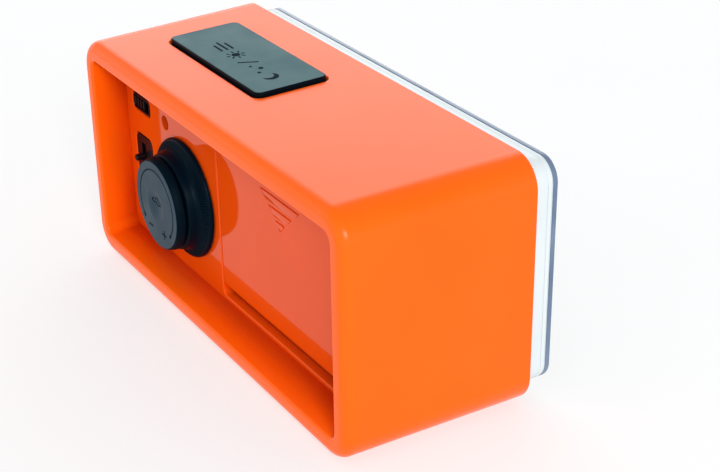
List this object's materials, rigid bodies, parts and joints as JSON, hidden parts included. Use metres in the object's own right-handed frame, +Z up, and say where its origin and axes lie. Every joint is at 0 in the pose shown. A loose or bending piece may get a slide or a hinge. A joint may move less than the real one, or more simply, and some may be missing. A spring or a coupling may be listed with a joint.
{
  "type": "digital alarm clock",
  "caption": "Box-shaped digital alarm clock with a turning set knob and slide switches in a recessed back, a top snooze bar and a clear front plate.",
  "frame": {"origin": "middle of the bounding box's bottom face, on the desk under the feet", "axes": "+Z up, display faces -Y, knob and battery door face +Y, X along the clock"},
  "size_m": [0.1284, 0.0544, 0.0612],
  "materials": {
    "outer_shell": "moulded ABS, fine satin gloss",
    "rear_panel": "moulded ABS, polished",
    "dark_keys": "matt slate blue-black with a soft sheen",
    "black_plastic": "matt black",
    "white_plastic": "polished white",
    "clear_plate": "clear acrylic with polished edges",
    "lcd_glass": "grey-green liquid crystal glass",
    "circuit_board": "green solder mask",
    "black_rubber": "matt rubber",
    "steel": "nickel plated",
    "cell_sleeve": "printed sleeve with plain bands"
  },
  "bodies": {
    "clock_case": {"outer_shell": "outer_shell", "rear_panel": "rear_panel", "battery_tray": "rear_panel", "display_mask": "black_plastic", "alarm_switch_housing": "black_plastic", "mode_switch_housing": "black_plastic", "knob_guide_tube": "black_plastic", "set_switch": "black_plastic", "encoder_sensor": "black_plastic", "clock_chip": "black_plastic", "buzzer": "black_plastic", "front_frame": "white_plastic", "backlight_diffuser": "white_plastic", "front_lens": "clear_plate", "lcd_panel": "lcd_glass", "main_board": "circuit_board", "knob_board": "circuit_board", "switch_board": "circuit_board", "snooze_board": "circuit_board", "foot_front_left": "black_rubber", "foot_front_right": "black_rubber", "foot_rear_left": "black_rubber", "foot_rear_right": "black_rubber", "lcd_connector_strip": "black_rubber", "snooze_rubber_dome": "black_rubber", "case_screw_1": "steel", "case_screw_2": "steel", "case_screw_3": "steel", "case_screw_4": "steel", "spring_backing_plate_1": "steel", "spring_backing_plate_2": "steel", "contact_spring_1": "steel", "contact_spring_2": "steel", "contact_plate_1": "steel", "contact_plate_2": "steel", "timing_crystal": "steel", "battery_cell_1": "cell_sleeve", "battery_cell_2": "cell_sleeve"},
    "snooze_key": {"snooze_button": "dark_keys"},
    "knob": {"knob_ring": "dark_keys", "encoder_wheel": "white_plastic"},
    "set_key": {"set_button": "dark_keys"},
    "alarm_slider": {"alarm_switch_slider": "black_plastic"},
    "mode_slider": {"mode_switch_slider": "black_plastic"},
    "door": {"battery_door": "rear_panel"}
  },
  "joints": [
    {"name": "snooze_press", "type": "slide", "parent": "clock_case", "child": "snooze_key", "axis": [0, 0, -1], "range_m": [0, 0.0008], "stiffness_N_per_m": 1500},
    {"name": "knob_turn", "type": "hinge", "parent": "clock_case", "child": "knob", "pos_m": [0.0255, 0.01825, 0.0267], "axis": [0, 1, 0], "continuous": true},
    {"name": "set_press", "type": "slide", "parent": "clock_case", "child": "set_key", "axis": [0, -1, 0], "range_m": [0, 0.0005], "stiffness_N_per_m": 1500},
    {"name": "alarm_slide", "type": "slide", "parent": "clock_case", "child": "alarm_slider", "axis": [-1, 0, 0], "range_m": [0, 0.0022]},
    {"name": "mode_slide", "type": "slide", "parent": "clock_case", "child": "mode_slider", "axis": [0, 0, 1], "range_m": [-0.0022, 0.0022]},
    {"name": "door_slide", "type": "slide", "parent": "clock_case", "child": "door", "axis": [0, 0, -1], "range_m": [0, 0.002]}
  ]
}
